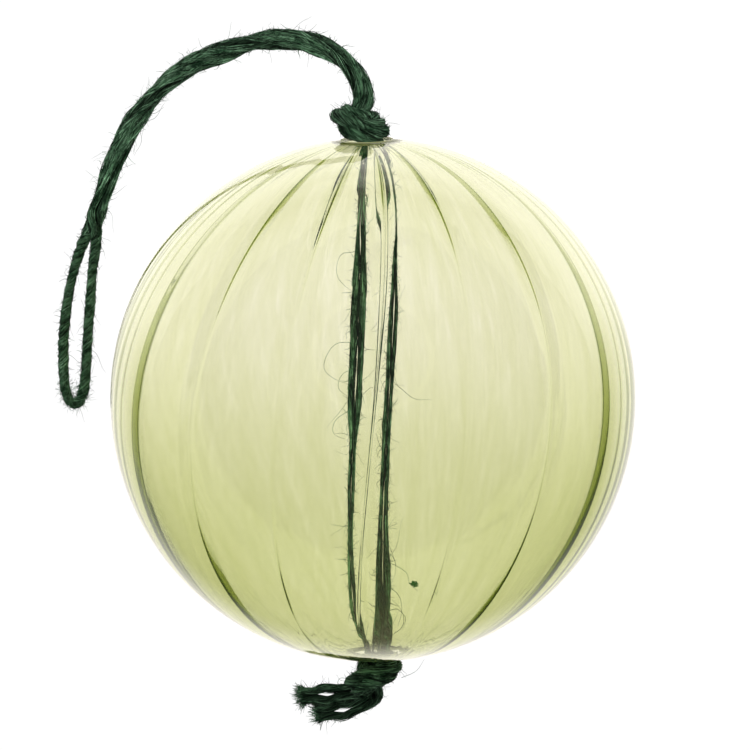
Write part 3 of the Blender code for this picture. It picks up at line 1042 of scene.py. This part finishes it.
def brush(rng, ply, end, count):
    """Loose fibres that stick out of the cut end of a ply."""
    centre, out, across, deep, wide = ply
    inward = 1 if end == 0 else -1
    forward = unit(centre[end] - centre[end + 4 * inward])
    t = np.linspace(0, 1, 8)[:, None]
    found = []
    for _ in range(count):
        theta, share = rng.uniform(0, math.tau), math.sqrt(rng.uniform(0, 1))
        outwards, sideways = math.cos(theta) * out[end], math.sin(theta) * across[end]
        root = centre[end] + share * (deep[end] * outwards + wide[end] * sideways)
        aim = unit(forward + 0.25 * rng.standard_normal(3) + 0.35 * share * (outwards + sideways))
        bend = rng.standard_normal(3) * 0.3
        reach = (0.8 + rng.uniform(0.2, 1.5)) * MM
        found.append(root - 0.8 * MM * forward + reach * (aim * t + bend * t**2))
    return found


def stray_fibres(plies, tone, finish):
    """The long hairs: all along the twine, at the tip of the loop and out of the cut ends."""
    rng = np.random.default_rng(9)
    paths, tones = [], []
    for _ in range(STRAY_HAIRS):
        index = rng.integers(len(tone))
        reach = (1.0 + rng.gamma(1.7, 0.75)) * MM
        paths.append(sprung(rng, plies, index, reach, 1.8, (0.3, 0.95), 8))
        tones.append(tone[index] * rng.uniform(0.3, 0.8))
    middle = plies[0][0]
    loop_end = np.flatnonzero(middle[:, 0] < LOOP_TIP)
    tip = loop_end[np.argmin(middle[loop_end, 1])]
    for _ in range(TIP_HAIRS):
        index = int(tip + rng.integers(-12, 13))
        reach = rng.uniform(0.6, 2.6) * MM
        paths.append(sprung(rng, plies, index, reach, OUTER_SIDE, (0, 0.8), 8))
        tones.append(rng.uniform(0.3, 0.9))
    radius = list(rng.uniform(0.035, 0.065, len(paths)) * MM)
    for ply in plies:
        for end in (0, len(tone) - 1):
            paths += brush(rng, ply, end, BRUSH_HAIRS)
    ends = len(paths) - len(radius)
    tones += list(rng.uniform(0.2, 0.75, ends))
    radius += list(rng.uniform(0.06, 0.11, ends) * MM)
    return hairs("stray_fibres", paths, radius, tones, finish)


def long_curls(finish):
    """The few long hairs that curl away from the strands and the bottom knot."""
    paths = [resampled(through(np.array(curl) * MM, 0.2 * MM), CURL_POINTS) for curl in CURLS]
    return hairs("long_curls", paths, [CURL_RADIUS] * len(paths), [CURL_TONE] * len(paths), finish)


def fluff_ball(finish):
    """The ball of fluff on one of the curls: short fibres wound round its middle."""
    rng = np.random.default_rng(3)
    angle = np.linspace(0, 5, CURL_POINTS)[:, None]
    paths = []
    for _ in range(FLUFF_FIBRES):
        middle = np.array(LINT) * MM + LINT_RADIUS * 0.35 * rng.standard_normal(3)
        turn, flat = unit(rng.standard_normal(3)), unit(rng.standard_normal(3))
        paths.append(middle + LINT_SHAPE * (np.cos(angle) * turn + np.sin(angle) * flat))
    return hairs("fluff_ball", paths, [LINT_FIBRE] * FLUFF_FIBRES, [1.0] * FLUFF_FIBRES, finish)


# The scene

scene.view_settings.view_transform = "Standard"
scene.cycles.max_bounces = BOUNCES
scene.cycles.transmission_bounces = BOUNCES
scene.cycles.glossy_bounces = BOUNCES
scene.cycles.transparent_max_bounces = BOUNCES
world()
camera()
stage()
side_lights()

orb = make_orb()
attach(orb, "root")
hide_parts("glass_orb")

green = jute("green_jute", GREEN_JUTE, PLY_GRAIN, True)
pale = jute("pale_jute", PALE_JUTE, HAIR_GRAIN, False)
bright = jute("bright_jute", BRIGHT_JUTE, HAIR_GRAIN, False)
twine, line, twine_length, plies, tone = make_twine(green)
lying = lying_fibres(plies, tone, pale)
down = fuzz(plies, tone, pale)
stray = stray_fibres(plies, tone, pale)
curls = long_curls(pale)
fluff = fluff_ball(bright)
for piece in (twine, lying, down, stray, curls, fluff):
    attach(piece, "root")
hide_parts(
    "twine_loop", "top_knot", "strand_left", "strand_right", "bottom_knot", "tail_upper", "tail_lower"
)
